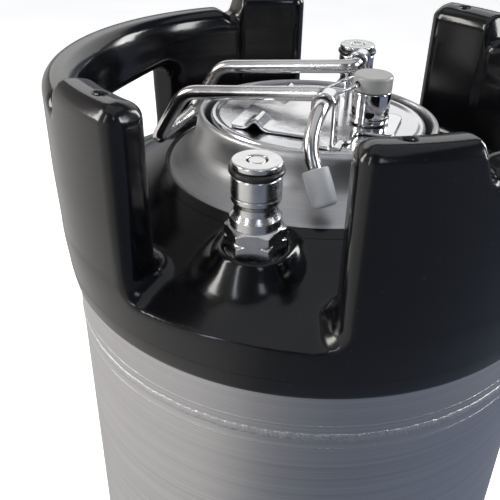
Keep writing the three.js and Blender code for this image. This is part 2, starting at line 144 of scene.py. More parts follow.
def field_mesh(name, field, lowest, highest, step, sharp=None):
    """Meshes the zero surface of a distance field between two corners, then settles each vertex on to it."""
    axes = [np.arange(a - 2 * step, b + 2.5 * step, step) for a, b in zip(lowest, highest)]
    x, y, z = np.meshgrid(*axes, indexing="ij")
    values = np.clip(field(x, y, z), -4 * step, 4 * step).astype(np.float32)
    grid = openvdb.FloatGrid(4 * step)
    grid.copyFromArray(values)
    points, triangles, quads = grid.convertToPolygons(isovalue=0.0, adaptivity=0.0)
    p = points.astype(float) * step + np.array([a[0] for a in axes])
    h = 0.05 * step
    for _ in range(4):
        here = field(*p.T)
        slope = np.stack(
            [(field(*(p + h * e).T) - field(*(p - h * e).T)) / (2 * h) for e in np.eye(3)], axis=1
        )
        size = np.maximum((slope**2).sum(axis=1), 0.2)
        move = -(here / size)[:, None] * slope
        p += np.clip(move, -0.4 * step, 0.4 * step)
    faces = [tuple(int(i) for i in q) for q in quads] + [tuple(int(i) for i in t) for t in triangles]
    return make_mesh(name, p, faces, sharp)


def make_mesh(name, points, faces, sharp=None):
    """A smooth-shaded object from points in millimetres. Edges bent more than sharp degrees stay crisp."""
    mesh = bpy.data.meshes.new(name)
    mesh.from_pydata([tuple(MM * c for c in p) for p in np.asarray(points, float)], [], faces)
    mesh.update()
    mesh.shade_smooth()
    if sharp:
        mesh.set_sharp_from_angle(angle=math.radians(sharp))
    piece = bpy.data.objects.new(name, mesh)
    bpy.context.scene.collection.objects.link(piece)
    return piece


# ---- turned pieces ----------------------------------------------------------------------------------------
def filleted(points, steps=5):
    """Rounds the corners of an outline of (r, z) or (r, z, radius) points."""
    out = []
    for i, point in enumerate(points):
        here = Vector(point[:2])
        radius = point[2] if len(point) > 2 else 0
        if not radius or i in (0, len(points) - 1):
            out.append(here)
            continue
        before = Vector(points[i - 1][:2]) - here
        after = Vector(points[i + 1][:2]) - here
        a = here + before.normalized() * min(radius, before.length * 0.49)
        b = here + after.normalized() * min(radius, after.length * 0.49)
        for k in range(steps + 1):
            t = k / steps
            out.append((1 - t) ** 2 * a + 2 * t * (1 - t) * here + t * t * b)
    return out


def turned(name, outline, centre=(0, 0), base=0, segments=192, shape=None, sharp=30, closed=False):
    """Turns an outline, as filleted takes it, about a vertical axis. shape may move each point."""
    profile = filleted(outline)
    points, faces, rings = [], [], []
    for r, z in profile:
        if r < 1e-6:
            rings.append([len(points)] * segments)
            points.append((centre[0], centre[1], base + z))
            continue
        rings.append(list(range(len(points), len(points) + segments)))
        for k in range(segments):
            a = 2 * math.pi * k / segments
            radius, height = shape(r, z, a) if shape else (r, z)
            x = centre[0] + radius * math.cos(a)
            y = centre[1] + radius * math.sin(a)
            points.append((x, y, base + height))
    pairs = list(zip(rings, rings[1:])) + ([(rings[-1], rings[0])] if closed else [])
    for one, two in pairs:
        for k in range(segments):
            n = (k + 1) % segments
            corners = (one[k], one[n], two[n], two[k])
            face = [c for i, c in enumerate(corners) if c not in corners[:i]]
            if len(face) > 2:
                faces.append(face)
    piece = make_mesh(name, points, faces, sharp)
    facing_out(piece)
    return piece


def circle(r, z, radius, count):
    """The round outline of a ring seal."""
    turns = np.linspace(0, 2 * math.pi, count)[:-1]
    return [(r + radius * math.cos(t), z + radius * math.sin(t)) for t in turns]


def facing_out(piece):
    """Turns the faces round where the mesh's volume comes out negative."""
    mesh = piece.data
    mesh.calc_loop_triangles()
    co = np.empty(len(mesh.vertices) * 3)
    mesh.vertices.foreach_get("co", co)
    co = co.reshape(-1, 3)
    corners = np.array([t.vertices[:] for t in mesh.loop_triangles])
    a, b, c = (co[corners[:, i]] for i in range(3))
    if np.einsum("ij,ij->i", a, np.cross(b, c)).sum() < 0:
        mesh.flip_normals()


def draw_in(r):
    """How far the neck and lid's oval pulls in along Y at a radius."""
    return OVAL * np.minimum(1, r / 30) * (1 - ease(r, MOUTH_R + 2, COLLAR_R - 1))


def oval(piece):
    co = np.empty(len(piece.data.vertices) * 3)
    piece.data.vertices.foreach_get("co", co)
    co = co.reshape(-1, 3)
    r = np.hypot(co[:, 0], co[:, 1]) / MM
    co[:, 1] *= 1 - draw_in(r) / np.maximum(r, 1e-6)
    piece.data.vertices.foreach_set("co", co.ravel())
    piece.data.update()
    return piece


# ---- bent wire --------------------------------------------------------------------------------------------
def bent(corners, radius, steps=10):
    """A centre line through corner points, each corner rounded with an arc-like curve."""
    line = [Vector(corners[0])]
    for before, here, after in zip(corners, corners[1:], corners[2:]):
        here = Vector(here)
        a = here + (Vector(before) - here).normalized() * radius
        b = here + (Vector(after) - here).normalized() * radius
        for k in range(steps + 1):
            t = k / steps
            line.append((1 - t) ** 2 * a + 2 * t * (1 - t) * here + t * t * b)
    return line + [Vector(corners[-1])]


def sweep(name, line, radius, sides):
    """A round bar along a centre line, with slightly chamfered ends."""
    ends = 0.35
    tip = 0.01
    last = len(line) - 1
    tangents = [(line[min(i + 1, last)] - line[max(i - 1, 0)]).normalized() for i in range(len(line))]
    side = tangents[0].orthogonal().normalized()
    points, faces = [], []
    inner = list(zip(line, tangents, [radius] * len(line)))
    inner[0] = (line[0] + tangents[0] * radius * ends, tangents[0], radius)
    inner[-1] = (line[-1] - tangents[-1] * radius * ends, tangents[-1], radius)
    caps = [[(line[i], tangents[i], radius * part) for part in (tip, 1 - ends)] for i in (0, -1)]
    stations = caps[0] + inner + caps[1][::-1]
    for place, tangent, r in stations:
        side = (side - tangent * side.dot(tangent)).normalized()
        other = tangent.cross(side)
        for k in range(sides):
            a = 2 * math.pi * k / sides
            points.append(place + side * (r * math.cos(a)) + other * (r * math.sin(a)))
    for i in range(len(stations) - 1):
        for k in range(sides):
            n = (k + 1) % sides
            faces.append((i * sides + k, i * sides + n, (i + 1) * sides + n, (i + 1) * sides + k))
    faces.append(tuple(reversed(range(sides))))
    faces.append(tuple(range(len(points) - sides, len(points))))
    piece = make_mesh(name, points, faces, 50)
    facing_out(piece)
    return piece


# ---- materials --------------------------------------------------------------------------------------------
class Nodes:
    """Short calls for building a procedural material."""

    def __init__(self, name):
        self.material = bpy.data.materials.new(name)
        self.material.use_nodes = True
        self.tree = self.material.node_tree
        self.shader = next(n for n in self.tree.nodes if n.type == "BSDF_PRINCIPLED")
        self.place = self.new("ShaderNodeTexCoord").outputs["Object"]

    def new(self, kind, **settings):
        node = self.tree.nodes.new(kind)
        for key, value in settings.items():
            setattr(node, key, value)
        return node

    def feed(self, socket, value):
        if isinstance(value, bpy.types.NodeSocket):
            self.tree.links.new(value, socket)
        else:
            socket.default_value = value

    def maths(self, operation, a, b=0.0):
        node = self.new("ShaderNodeMath", operation=operation)
        self.feed(node.inputs[0], a)
        self.feed(node.inputs[1], b)
        return node.outputs[0]

    def stretched(self, scale, source=None):
        node = self.new("ShaderNodeMapping")
        self.feed(node.inputs["Vector"], source or self.place)
        node.inputs["Scale"].default_value = scale
        return node.outputs[0]

    def noise(self, scale, detail=3.0, vector=None, rough=0.5):
        node = self.new("ShaderNodeTexNoise")
        self.feed(node.inputs["Vector"], vector or self.place)
        node.inputs["Scale"].default_value = scale
        node.inputs["Detail"].default_value = detail
        node.inputs["Roughness"].default_value = rough
        return node.outputs["Fac"]

    def ramp(self, value, *stops):
        """Colours between stops of (position, grey level or colour)."""
        node = self.new("ShaderNodeValToRGB")
        self.feed(node.inputs[0], value)
        ramp = node.color_ramp
        while len(ramp.elements) < len(stops):
            ramp.elements.new(0.5)
        for element, (position, colour) in zip(ramp.elements, stops):
            element.position = position
            rgb = (colour,) * 3 if isinstance(colour, (int, float)) else colour
            element.color = (*rgb, 1)
        return node.outputs["Color"]

    def span(self, value, low_end, high_end, start=0.3, end=0.7):
        node = self.new("ShaderNodeMapRange")
        self.feed(node.inputs["Value"], value)
        numbers = {"From Min": start, "From Max": end, "To Min": low_end, "To Max": high_end}
        for key, number in numbers.items():
            node.inputs[key].default_value = number
        return node.outputs[0]

    def mix(self, factor, a, b, blend="MIX"):
        node = self.new("ShaderNodeMix", data_type="RGBA", blend_type=blend)
        for key, value in (("Factor", factor), ("A", a), ("B", b)):
            socket = next(s for s in node.inputs if s.name == key and s.enabled)
            self.feed(socket, value)
        return next(s for s in node.outputs if s.enabled)

    def bump(self, height, distance, strength=1.0, after=None):
        node = self.new("ShaderNodeBump")
        self.feed(node.inputs["Height"], height)
        node.inputs["Distance"].default_value = distance
        node.inputs["Strength"].default_value = strength
        if after:
            self.feed(node.inputs["Normal"], after)
        return node.outputs[0]

    def finish(self, colour, roughness, normal=None, metallic=0.0, specular=0.5, coat=0.0):
        self.feed(self.shader.inputs["Base Color"], colour)
        self.feed(self.shader.inputs["Roughness"], roughness)
        self.shader.inputs["Metallic"].default_value = metallic
        self.shader.inputs["Specular IOR Level"].default_value = specular
        self.shader.inputs["Coat Weight"].default_value = coat
        self.shader.inputs["Coat Roughness"].default_value = 0.1
        if normal:
            self.feed(self.shader.inputs["Normal"], normal)
        return self.material


def boot_rubber():
    """Glossy moulded black rubber: flow unevenness, fine scuffs, and dust specks that dull the gloss."""
    m = Nodes("boot_rubber")
    cloud = m.noise(14, 4)
    specks = m.span(m.noise(900, 2), 0, 1, 0.70, 0.78)
    scuffs = m.span(m.noise(55, 6, m.stretched((1, 1, 7)), 0.75), 0, 1, 0.58, 0.8)
    base = m.ramp(cloud, (0.3, (0.0022, 0.0023, 0.0030)), (0.7, (0.0040, 0.0041, 0.0050)))
    dusty = m.mix(m.maths("MULTIPLY", specks, 0.3), base, (0.05, 0.05, 0.053, 1))
    rough = m.maths("ADD", m.span(cloud, 0.13, 0.19), m.maths("MULTIPLY", scuffs, 0.10))
    rough = m.maths("ADD", rough, m.maths("MULTIPLY", specks, 0.25))
    waves = m.bump(m.noise(38, 2), 0.0004, 0.25)
    grain = m.bump(m.noise(1500, 2), 0.00001, 0.5, waves)
    return m.finish(dusty, rough, grain, specular=0.42)


def seal_rubber():
    m = Nodes("seal_rubber")
    cloud = m.noise(120, 3)
    colour = m.ramp(cloud, (0.3, 0.008), (0.7, 0.016))
    return m.finish(colour, m.span(cloud, 0.25, 0.42), m.bump(m.noise(2500, 2), 0.00003, 0.5))


def foot_rubber():
    """Pale grey moulded plastic, slightly chalky, with handling marks."""
    m = Nodes("foot_rubber")
    cloud = m.noise(90, 4)
    specks = m.span(m.noise(1400, 2), 0, 1, 0.66, 0.74)
    base = m.ramp(cloud, (0.3, (0.47, 0.49, 0.51)), (0.7, (0.56, 0.57, 0.58)))
    colour = m.mix(m.maths("MULTIPLY", specks, 0.3), base, (0.62, 0.62, 0.61, 1))
    return m.finish(colour, m.span(cloud, 0.34, 0.48), m.bump(m.noise(1800, 3), 0.00003, 0.5))


def cap_plastic():
    m = Nodes("cap_plastic")
    cloud = m.noise(150, 4)
    colour = m.ramp(cloud, (0.3, (0.27, 0.27, 0.26)), (0.7, (0.36, 0.355, 0.345)))
    return m.finish(colour, m.span(cloud, 0.28, 0.42), m.bump(m.noise(2200, 2), 0.00003, 0.5), coat=0.15)


def radius_of(m, centre=(0, 0)):
    """Distance from a vertical axis, and height, in metres."""
    split = m.new("ShaderNodeSeparateXYZ")
    m.feed(split.inputs[0], m.place)
    x = m.maths("SUBTRACT", split.outputs[0], centre[0] * MM)
    y = m.maths("SUBTRACT", split.outputs[1], centre[1] * MM)
    squares = m.maths("ADD", m.maths("MULTIPLY", x, x), m.maths("MULTIPLY", y, y))
    return m.maths("SQRT", squares), split.outputs[2]


def body_steel():
    """Satin steel brushed round the cylinder: fine and coarse streaks that follow the turn, and smudges."""
    m = Nodes("body_steel")
    fine = m.noise(1, 2, m.stretched((6, 6, 2600)))
    coarse = m.noise(1, 3, m.stretched((2.5, 2.5, 420)))
    smudge = m.noise(9, 5, None, 0.6)
    streak = m.maths("ADD", m.maths("MULTIPLY", fine, 0.6), m.maths("MULTIPLY", coarse, 0.4))
    base = m.ramp(streak, (0.35, (0.50, 0.50, 0.505)), (0.65, (0.63, 0.63, 0.635)))
    colour = m.mix(m.span(smudge, 0, 0.22, 0.45, 0.75), base, (0.42, 0.42, 0.43, 1))
    rough = m.maths("ADD", m.span(streak, 0.27, 0.37), m.span(smudge, 0.0, 0.07, 0.4, 0.7))
    return m.finish(colour, rough, m.bump(streak, 0.00003, 0.4), metallic=1.0)


def head_steel():
    """Satin steel of the pressed head, brushed in rings, with soft dents and weld-heat stains."""
    m = Nodes("head_steel")
    radius, height = radius_of(m)
    rings = m.new("ShaderNodeCombineXYZ")
    m.feed(rings.inputs[0], m.maths("MULTIPLY", radius, 1900))
    m.feed(rings.inputs[1], m.maths("MULTIPLY", height, 1900))
    fine = m.noise(1, 2, rings.outputs[0])
    blotch = m.noise(26, 4, None, 0.55)
    base = m.ramp(fine, (0.3, (0.46, 0.46, 0.47)), (0.7, (0.56, 0.56, 0.57)))
    colour = m.mix(m.span(blotch, 0, 0.35, 0.45, 0.7), base, (0.40, 0.385, 0.375, 1))
    rough = m.maths("ADD", m.span(fine, 0.36, 0.44), m.span(blotch, 0.0, 0.08))
    soft = m.bump(m.noise(32, 2), 0.0006, 0.3)
    return m.finish(colour, rough, m.bump(fine, 0.00003, 0.35, soft), metallic=1.0)


def weld_steel():
    """The ground-down weld bead: duller, with a close ripple and speckle."""
    m = Nodes("weld_steel")
    speck = m.noise(1400, 4)
    base = m.ramp(speck, (0.3, (0.44, 0.44, 0.445)), (0.7, (0.62, 0.62, 0.63)))
    return m.finish(base, m.span(speck, 0.36, 0.55), m.bump(speck, 0.00008, 0.6), metallic=1.0)


def polished(name, tint, dull, wave):
    """Polished steel with hairline scratches and a slight waviness."""
    m = Nodes(name)
    hair = m.noise(1, 2, m.stretched((1600, 260, 1600)))
    cloud = m.noise(60, 4)
    colour = m.ramp(cloud, (0.3, tuple(0.9 * c for c in tint)), (0.7, tint))
    rough = m.maths("ADD", m.span(cloud, dull * 0.7, dull * 1.2), m.span(hair, 0.0, 0.05, 0.55, 0.75))
    waves = m.bump(m.noise(wave, 2), 0.0004, 0.25)
    return m.finish(colour, rough, m.bump(hair, 0.00002, 0.3, waves), metallic=1.0)


def machined_steel(name, centre):
    """Bright turned steel: fine tool rings round the post's axis, and across its top face."""
    m = Nodes(name)
    radius, height = radius_of(m, centre)
    rings = m.new("ShaderNodeCombineXYZ")
    m.feed(rings.inputs[0], m.maths("MULTIPLY", radius, 9000))
    m.feed(rings.inputs[1], m.maths("MULTIPLY", height, 6500))
    fine = m.noise(1, 1, rings.outputs[0])
    cloud = m.noise(140, 3)
    colour = m.ramp(cloud, (0.3, (0.60, 0.60, 0.60)), (0.7, (0.72, 0.72, 0.715)))
    rough = m.maths("ADD", m.span(fine, 0.17, 0.27), m.span(cloud, 0.0, 0.05))
    return m.finish(colour, rough, m.bump(fine, 0.00001, 0.35), metallic=1.0)


RUBBER = boot_rubber()
SEAL = seal_rubber()
FOOT = foot_rubber()
CAP = cap_plastic()
BODY_STEEL = body_steel()
HEAD_STEEL = head_steel()
WELD_STEEL = weld_steel()
LID_STEEL = polished("lid_steel", (0.64, 0.64, 0.65), 0.2, 70)
WIRE_STEEL = polished("wire_steel", (0.68, 0.67, 0.66), 0.23, 45)
PLATE_STEEL = polished("plate_steel", (0.70, 0.70, 0.71), 0.16, 150)
CHROME = polished("valve_chrome", (0.72, 0.72, 0.73), 0.1, 120)
TUBE_STEEL = polished("tube_steel", (0.62, 0.62, 0.63), 0.2, 40)


def settle(piece, material, body, slot, *nodes):
    """Gives a finished piece its material, body and the CAD nodes it stands for. Its slot argument is not
    used.
    """
    piece.data.materials.clear()
    piece.data.materials.append(material)
    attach(piece, body)
    if nodes:
        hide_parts(*nodes)
    return piece


# ---- top boot ---------------------------------------------------------------------------------------------
# SKIRT is its outline by height above the seam. FLOOR and UNDER are heights above the seam by radius.
SKIRT = [(10, 109.2), (20, 109.4), (26, 110.6), (42, 112), (72, 113), (130, 113)]
FLOOR = [
    (50, 72), (65, 63.7), (69, 61.7), (74, 58.8), (82, 54.2), (90, 50.6), (98, 47.4), (105, 44.6),
    (111.5, 42), (125, 36.5),
]
UNDER = [
    (60, 63), (65, 61.8), (74, 55.2), (82, 49.9), (90, 44.6), (97, 39.4), (102.6, 33.4), (106.2, 27),
    (107, 19),
]


def boss_field(x, y, z):
    """The flared rubber seat round both posts."""
    r = np.hypot(x, np.abs(y) - POST_Y)
    up, along = curve_height(r, [(0, 92), (13.9, 60.4), (19.2, 51), (23.4, 45), (29.5, 40.5), (42, 35)])
    flank = (z - SEAM - up) * np.minimum(along, 0.62)
    flat = z - SEAM - 61.3
    return meet(flank, flat, 1.0)


def boot_field(x, y, z):
    ax, ay = np.abs(x), np.abs(y)
    r = np.hypot(x, y)
    a = np.arctan2(ax, ay)
    h = z - SEAM
    outside = r - curve_height(h, SKIRT)[0]
    floor_z, factor = curve_height(r, FLOOR)
    floor = (h - floor_z) * factor
    under_z, under_factor = curve_height(r, UNDER)
    underside = (under_z - h) * under_factor
    base = meet(floor, outside, 0.9)
    base = np.maximum(base, COLLAR_R + 1.2 - r)

    # the wall: a grip at each side with a taller pillar at each end
    pillar = 1 - ease(a, GRIP_ANGLE - 0.045, GRIP_ANGLE - 0.005)
    swell = 2.2 * ((h - 95) / 12) ** 2 * (1 - pillar) * ease(h, 84, 95)
    inside = GRIP_WALL_R - (GRIP_WALL_R - PILLAR_WALL_R) * pillar - 0.018 * (TOP - z) + swell - r
    valley = 3.4 * np.exp(-(((a - GRIP_ANGLE - 0.02) / 0.036) ** 2))
    crown = 1.6 * ease(r, 97, 105) * pillar - 1.4 * ease(r, 108, BOOT_R) * pillar
    top = GRIP_Z - SEAM + 6.6 * pillar - valley + crown
    above = (h - top) * 0.93
    end = -(ax * math.cos(GAP_ANGLE) - ay * math.sin(GAP_ANGLE))
    wall = meet(meet(outside, inside, 2.2), above, 4.6)
    wall = meet(wall, end, 6.5)
    wall = np.maximum(wall, 30 - h)
    body = join(base, wall, 7.5)

    # hand openings under the grips
    arch = h - (OPENING_TOP - 4.6 * (1 - (ay / 43) ** 2))
    opening = meet(meet(ay - OPENING_HALF, arch, 9), 84 - ax, 1)
    opening = np.maximum(opening, floor_z + 1.0 - h)
    body = cut(body, opening, 5.2)

    body = join(body, boss_field(x, y, z), 5.5)
    body = meet(body, underside, 0.4)
    body = meet(body, outside, 0.6)
    body = np.maximum(body, LIP_Z + 3 - z)

    # post seats, and the small vent in each pillar's crown
    post_r = np.hypot(x, ay - POST_Y)
    seat = np.maximum(post_r - POST_SEAT_R, POST_Z - 0.4 - z)
    body = cut(body, seat, 0.7)
    body = np.maximum(body, POST_HOLE_R - post_r)
    vent_x = VENT_FROM_AXIS * math.sin(VENT_ANGLE)
    vent_y = VENT_FROM_AXIS * math.cos(VENT_ANGLE)
    vent = np.maximum(np.hypot(ax - vent_x, ay - vent_y) - VENT_R, TOP - 7 - z)
    return cut(body, vent, 0.8)


def make_top_boot():
    reach = (BOOT_R, SILL_R, TOP)
    step = 1.2
    boot = field_mesh("top_boot_rubber", boot_field, (-reach[0], -reach[1], LIP_Z), reach, step)
    settle(boot, RUBBER, "keg", "boot_rubber", "top_boot")
    facing_out(boot)
    heights = [20, 20.6, 21.4, 22.5, 24, 25.5, 27, 28.5]
    lip = [(LIP_INNER_R, heights[0])]
    lip += [(float(curve_height(h, SKIRT)[0]) - 0.7 * max(0, 21 - h) + 0.05, h) for h in heights]
    lip += [(LIP_INNER_R, heights[-1])]
    collar = [(COLLAR_R, 61.9), (COLLAR_R, 63.3, 0.4), (COLLAR_R + 0.9, 63.6, 0.4), (69.6, 61.5), (69.6, 60)]
    settle(turned("boot_collar", collar, base=SEAM, segments=256, closed=True), RUBBER, "keg", "boot_rubber")
    settle(turned("boot_lip", lip, base=SEAM, segments=256, closed=True), RUBBER, "keg", "boot_rubber")


def flash_line(name, places, radius):
    """A hair of flash left by the mould's parting line."""
    settle(sweep(name, [Vector(p) for p in places], radius, 6), RUBBER, "keg", "boot_rubber")


def make_flash():
    reach = math.degrees(GAP_ANGLE) - 4
    for side, name in ((-1, "gas"), (1, "liquid")):
        sill = []
        for i in range(41):
            a = math.radians(-reach + 2 * reach * i / 40)
            r = SILL_R - 0.75
            sill.append((r * math.sin(a), side * r * math.cos(a), SEAM + 41.9))
        flash_line(f"{name}_sill_flash", sill, 0.28)
        seam = []
        for i in range(12):
            h = 22 + 18 * i / 11
            r = float(curve_height(h, SKIRT)[0])
            seam.append((2.2, side * (r - 0.25), SEAM + h))
        flash_line(f"{name}_skirt_seam", seam, 0.3)


# ---- steel vessel -----------------------------------------------------------------------------------------
def make_vessel():
    skin = BODY_R - 1.2
    body = [(skin, 0), (BODY_R, 0), (BODY_R, SEAM - LOWER_SEAM), (skin, SEAM - LOWER_SEAM)]
    shell = turned("body_cylinder", body, base=LOWER_SEAM, segments=256, closed=True)
    settle(shell, BODY_STEEL, "keg", "satin_steel", "body_shell")

    outline = [
        (skin, 0), (BODY_R, 0), (BODY_R, 19, 3), (107, 26, 4), (103, 33, 4), (97, 39.5, 4), (90, 45, 4),
        (82, 50.5, 4), (74, 56, 4), (65, 62.6, 5), (58.6, 66.2, 4), (54.8, 70.5, 4), (53.1, 76, 4),
        (52.6, 81.2, 2), (51.8, 84, 1.6), (MOUTH_R + 0.1, 84, 1.4), (MOUTH_R, 80, 2), (MOUTH_R, 71.5),
        (52, 71.5, 0.8), (56, 66, 3), (64.3, 61.2, 4), (81.2, 49.3, 4), (96.1, 38.4, 4), (102, 32.2, 4),
        (skin, 19, 4),
    ]
    head = oval(turned("neck_and_head", outline, base=SEAM + 0.02, segments=256, closed=True))
    settle(head, HEAD_STEEL, "keg", "satin_steel", "top_head")

    bottom = [
        (0, 11), (45, 13, 6), (74, 19.5, 6), (92, 28.5, 6), (103, 42, 6), (BODY_R, 63, 6),
        (BODY_R, LOWER_SEAM), (skin, LOWER_SEAM), (skin, 63.5, 6), (102, 43, 6), (91, 30, 6), (74, 20.8, 6),
        (45, 14.2, 6), (0, 12.2),
    ]
    settle(turned("lower_dome", bottom, segments=256), BODY_STEEL, "keg", "satin_steel", "bottom_head")
    for name, z in (("upper_weld", SEAM), ("lower_weld", LOWER_SEAM)):
        make_weld(name, z)


def make_weld(name, z):
    """A low ripple of weld, ground nearly flush, with the heat line beside it."""
    def ripple(r, h, a):
        wave = 0.035 * math.sin(a * 397 + h) + 0.03 * math.sin(a * 97 + 1.3)
        wave += 0.03 * math.sin(a * 613 + 2 * h)
        drift = h + 0.15 * math.sin(a * 41) + 0.12 * math.sin(a * 173 + 2)
        return r + (wave if r > BODY_R + 0.1 else 0), drift

    outline = [
        (BODY_R - 0.1, -2.0), (BODY_R + 0.12, -1.6), (BODY_R + 0.24, -0.8), (BODY_R + 0.28, 0),
        (BODY_R + 0.24, 0.8), (BODY_R + 0.12, 1.6), (BODY_R - 0.1, 2.0),
    ]
    weld = turned(name, outline, base=z, segments=1400, shape=ripple, sharp=None, closed=True)
    settle(weld, WELD_STEEL, "keg", "satin_steel")
    line = [(BODY_R - 0.1, -0.5), (BODY_R + 0.08, 0), (BODY_R - 0.1, 0.5)]
    for end, height in (("low", z - 5.6), ("high", z + 5.6)):
        edge = turned(f"{name}_edge_{end}", line, base=height, closed=True, sharp=None)
        settle(edge, BODY_STEEL, "keg", "satin_steel")


def bottom_boot_field(x, y, z):
    r = np.hypot(x, y)
    outside = r - curve_height(z, [(-5, 110.9), (30, 110.9), (60, 110.2), (66, 109.2)])[0]
    dome = [(0, 10), (45, 12.4), (74, 18.8), (92, 27.6), (103, 41), (108.4, 62), (109, 90)]
    dome_z, factor = curve_height(r, dome)
    under_dome = (z - dome_z) * np.minimum(factor, 0.8)
    inner = BODY_R - 0.5 - r
    below = np.where(z > 60, inner, under_dome)
    ring = meet(outside, below, 1.0)
    body = meet(ring, 84 - r, 2.5)
    body = meet(body, -z, 2.6)
    body = np.maximum(body, z - BOTTOM_BOOT_TOP + 2)
    for angle in (45, 135):
        c, s = math.cos(math.radians(angle)), math.sin(math.radians(angle))
        across = np.abs(-x * s + y * c)
        body = cut(body, np.maximum(across - 3, z - 4), 1.2)
    groove = np.hypot(r - BOTTOM_BOOT_R, z - 12) - 1.1
    return cut(body, groove, 0.5)


def make_bottom_boot():
    reach = BOTTOM_BOOT_R
    step = 1.5
    ends = ((-reach, -reach, 0), (reach, reach, BOTTOM_BOOT_TOP))
    boot = field_mesh("bottom_boot_rubber", bottom_boot_field, *ends, step)
    settle(boot, RUBBER, "keg", "boot_rubber", "bottom_boot")
    facing_out(boot)
    rim = [(107.6, 61), (110.15, 61), (109.6, 63.4), (109.1, BOTTOM_BOOT_TOP, 0.6), (107.6, BOTTOM_BOOT_TOP)]
    settle(turned("bottom_boot_rim", rim, segments=256, closed=True), RUBBER, "keg", "boot_rubber")


# ---- posts ------------------------------------------------------------------------------------------------
HEX_FLATS = 19.7
HEX_TOP = 11.1
HEX_TURN = math.radians(-17)
NOTCH_Z = 5.8


def hexagon(notched):
    """Shapes the post's foot into a hexagon with chamfered corners, and nicks its corners if notched."""
    def shape(r, z, a):
        if z > HEX_TOP + 0.01 or r < 9.3:
            return r, z
        flat = HEX_FLATS / 2 / math.cos((a - HEX_TURN + math.pi / 6) % (math.pi / 3) - math.pi / 6)
        chamfer = 11.35 - 1.5 * max(0, z - 9.5) - 0.9 * max(0, 1.0 - z)
        nick = 10.0 + 1.3 * abs(z - NOTCH_Z) if notched else 99
        return min(r, flat, chamfer, nick), z
    return shape


def make_post(name, y, notched):
    top = POST_TOP - POST_Z
    foot = [(7.8, 0), (12, 0)] + [(12, 0.2 + 0.27 * i) for i in range(41)]
    barrel = [
        (9.7, HEX_TOP), (9.3, HEX_TOP + 0.02, 0.1), (9.3, 14.2, 0.25), (8.85, 14.8, 0.3), (7.85, 16.4, 0.4),
        (7.75, 18.9, 0.5), (8.95, 20.6, 0.5), (8.98, 22.2, 0.2), (8.84, 22.45, 0.15), (8.84, 22.7, 0.15),
        (8.95, 22.95, 0.2), (8.95, 29.5, 0.3), (8.6, 30.0, 0.2), (7.3, 30.1, 0.2), (7.3, 32.7, 0.2),
        (8.75, 32.8, 0.2), (8.95, 33.3, 0.3), (8.9, top - 0.5, 0.5), (8.4, top, 0.5), (3.95, top, 0.2),
        (3.62, top - 0.35, 0.1), (3.5, top - 3), (3.5, 25), (7.5, 12), (7.5, 0.2),
    ]
    post = turned(f"{name}_post_steel", foot + barrel, (0, y), POST_Z, 360, hexagon(notched), 24, closed=True)
    steel = machined_steel(f"{name}_machined_steel", (0, y))
    settle(post, steel, "keg", "polished_steel", f"{name}_post")
    ring = circle(8.6, 31.4, 1.18, 20)
    oring = turned(f"{name}_ring_seal", ring, (0, y), POST_Z, 128, closed=True, sharp=None)
    settle(oring, SEAL, "keg", "seal_rubber", f"{name}_post_oring")
    pin = [
        (0, 20), (2, 20, 0.2), (2, 21.6), (5, 21.6, 0.3), (5, 23.2, 0.3), (3.1, 23.4), (3.1, top - 0.45, 0.2),
        (2.85, top - 0.15, 0.2), (0, top - 0.1),
    ]
    poppet = turned(f"{name}_poppet_steel", pin, (0, y), POST_Z, 96, sharp=30)
    settle(poppet, steel, f"{name}_valve", "polished_steel", f"{name}_poppet")


# ---- lid --------------------------------------------------------------------------------------------------
def make_lid():
    z = LID_TOP - 1.2 - SEAM
    outline = [
        (0, z), (30, z, 2), (43.2, z + 0.05, 0.8), (44.4, z + 1.05, 0.6), (46.0, z + 1.2, 0.7),
        (47.2, z - 0.4, 0.9), (47.2, 67, 1.2), (48.6, 64.9, 1.2), (54.3, 64.8, 0.4), (54.3, 63.4, 0.4),
        (47.2, 63.4, 1), (45.8, 65.5, 0.6), (45.8, z - 1.8, 0.6), (0, z - 1.8),
    ]
    lid = oval(turned("lid_pressing", outline, base=SEAM, segments=224, sharp=35))
    settle(lid, LID_STEEL, "lid", "polished_steel", "lid")
    cord = circle(50.6, 68.1, 2.85, 18)
    gasket = oval(turned("gasket_ring", cord, base=SEAM, closed=True, sharp=None))
    settle(gasket, SEAL, "lid", "seal_rubber", "lid_gasket")


def bracket_field(x, y, z):
    """The spring plate: a sheet with two loops over the hinge wire and a raised bead across it."""
    ax, ay = x - AXLE.x, np.abs(y)
    half = SHEET_HALF
    bead = 3.4 * np.exp(-(((x + 19.5) / 2.7) ** 2)) * ease(ay, 11, 15)
    middle_z = PLATE_LOW + half + bead
    sheet = np.abs(z - middle_z) * (1 - 0.35 * np.clip(bead, 0, 1)) - half
    panel = meet(ay - 26, np.maximum(-30.5 - x, x - 20.5), 3)
    tongue = meet(ay - 13, np.maximum(-5 - x, x - 35.5), 4)
    plan = join(panel, tongue, 4)
    plate = meet(sheet, plan, 0.35)
    inner = WIRE_R + 0.5
    ring = np.abs(np.hypot(ax, np.maximum(z - AXLE.z, 0)) - (inner + half)) - half
    foot = np.abs(np.abs(ax) - (inner + half)) - half
    loop = np.where(z > AXLE.z, ring, foot)
    band = np.abs(ay - LOOP_Y) - 4
    loop = meet(meet(loop, band, 0.35), PLATE_LOW - z, 0.2)
    tab_plan = np.maximum(np.abs(ax) - 7.6, np.abs(ay - 29.5) - 4.4)
    tab = meet(np.abs(z - PLATE_LOW - half) - half, tab_plan, 0.35)
    whole = join(join(plate, tab, 0.4), loop, 1.0)
    slot = np.maximum(np.abs(ax) - inner, np.maximum(np.abs(ay - LOOP_Y) - 6, z - AXLE.z))
    whole = np.maximum(whole, -np.maximum(slot, PLATE_LOW + 2 * half - z))
    return np.maximum(whole, 6.4 - np.hypot(x - RELIEF_X, y))


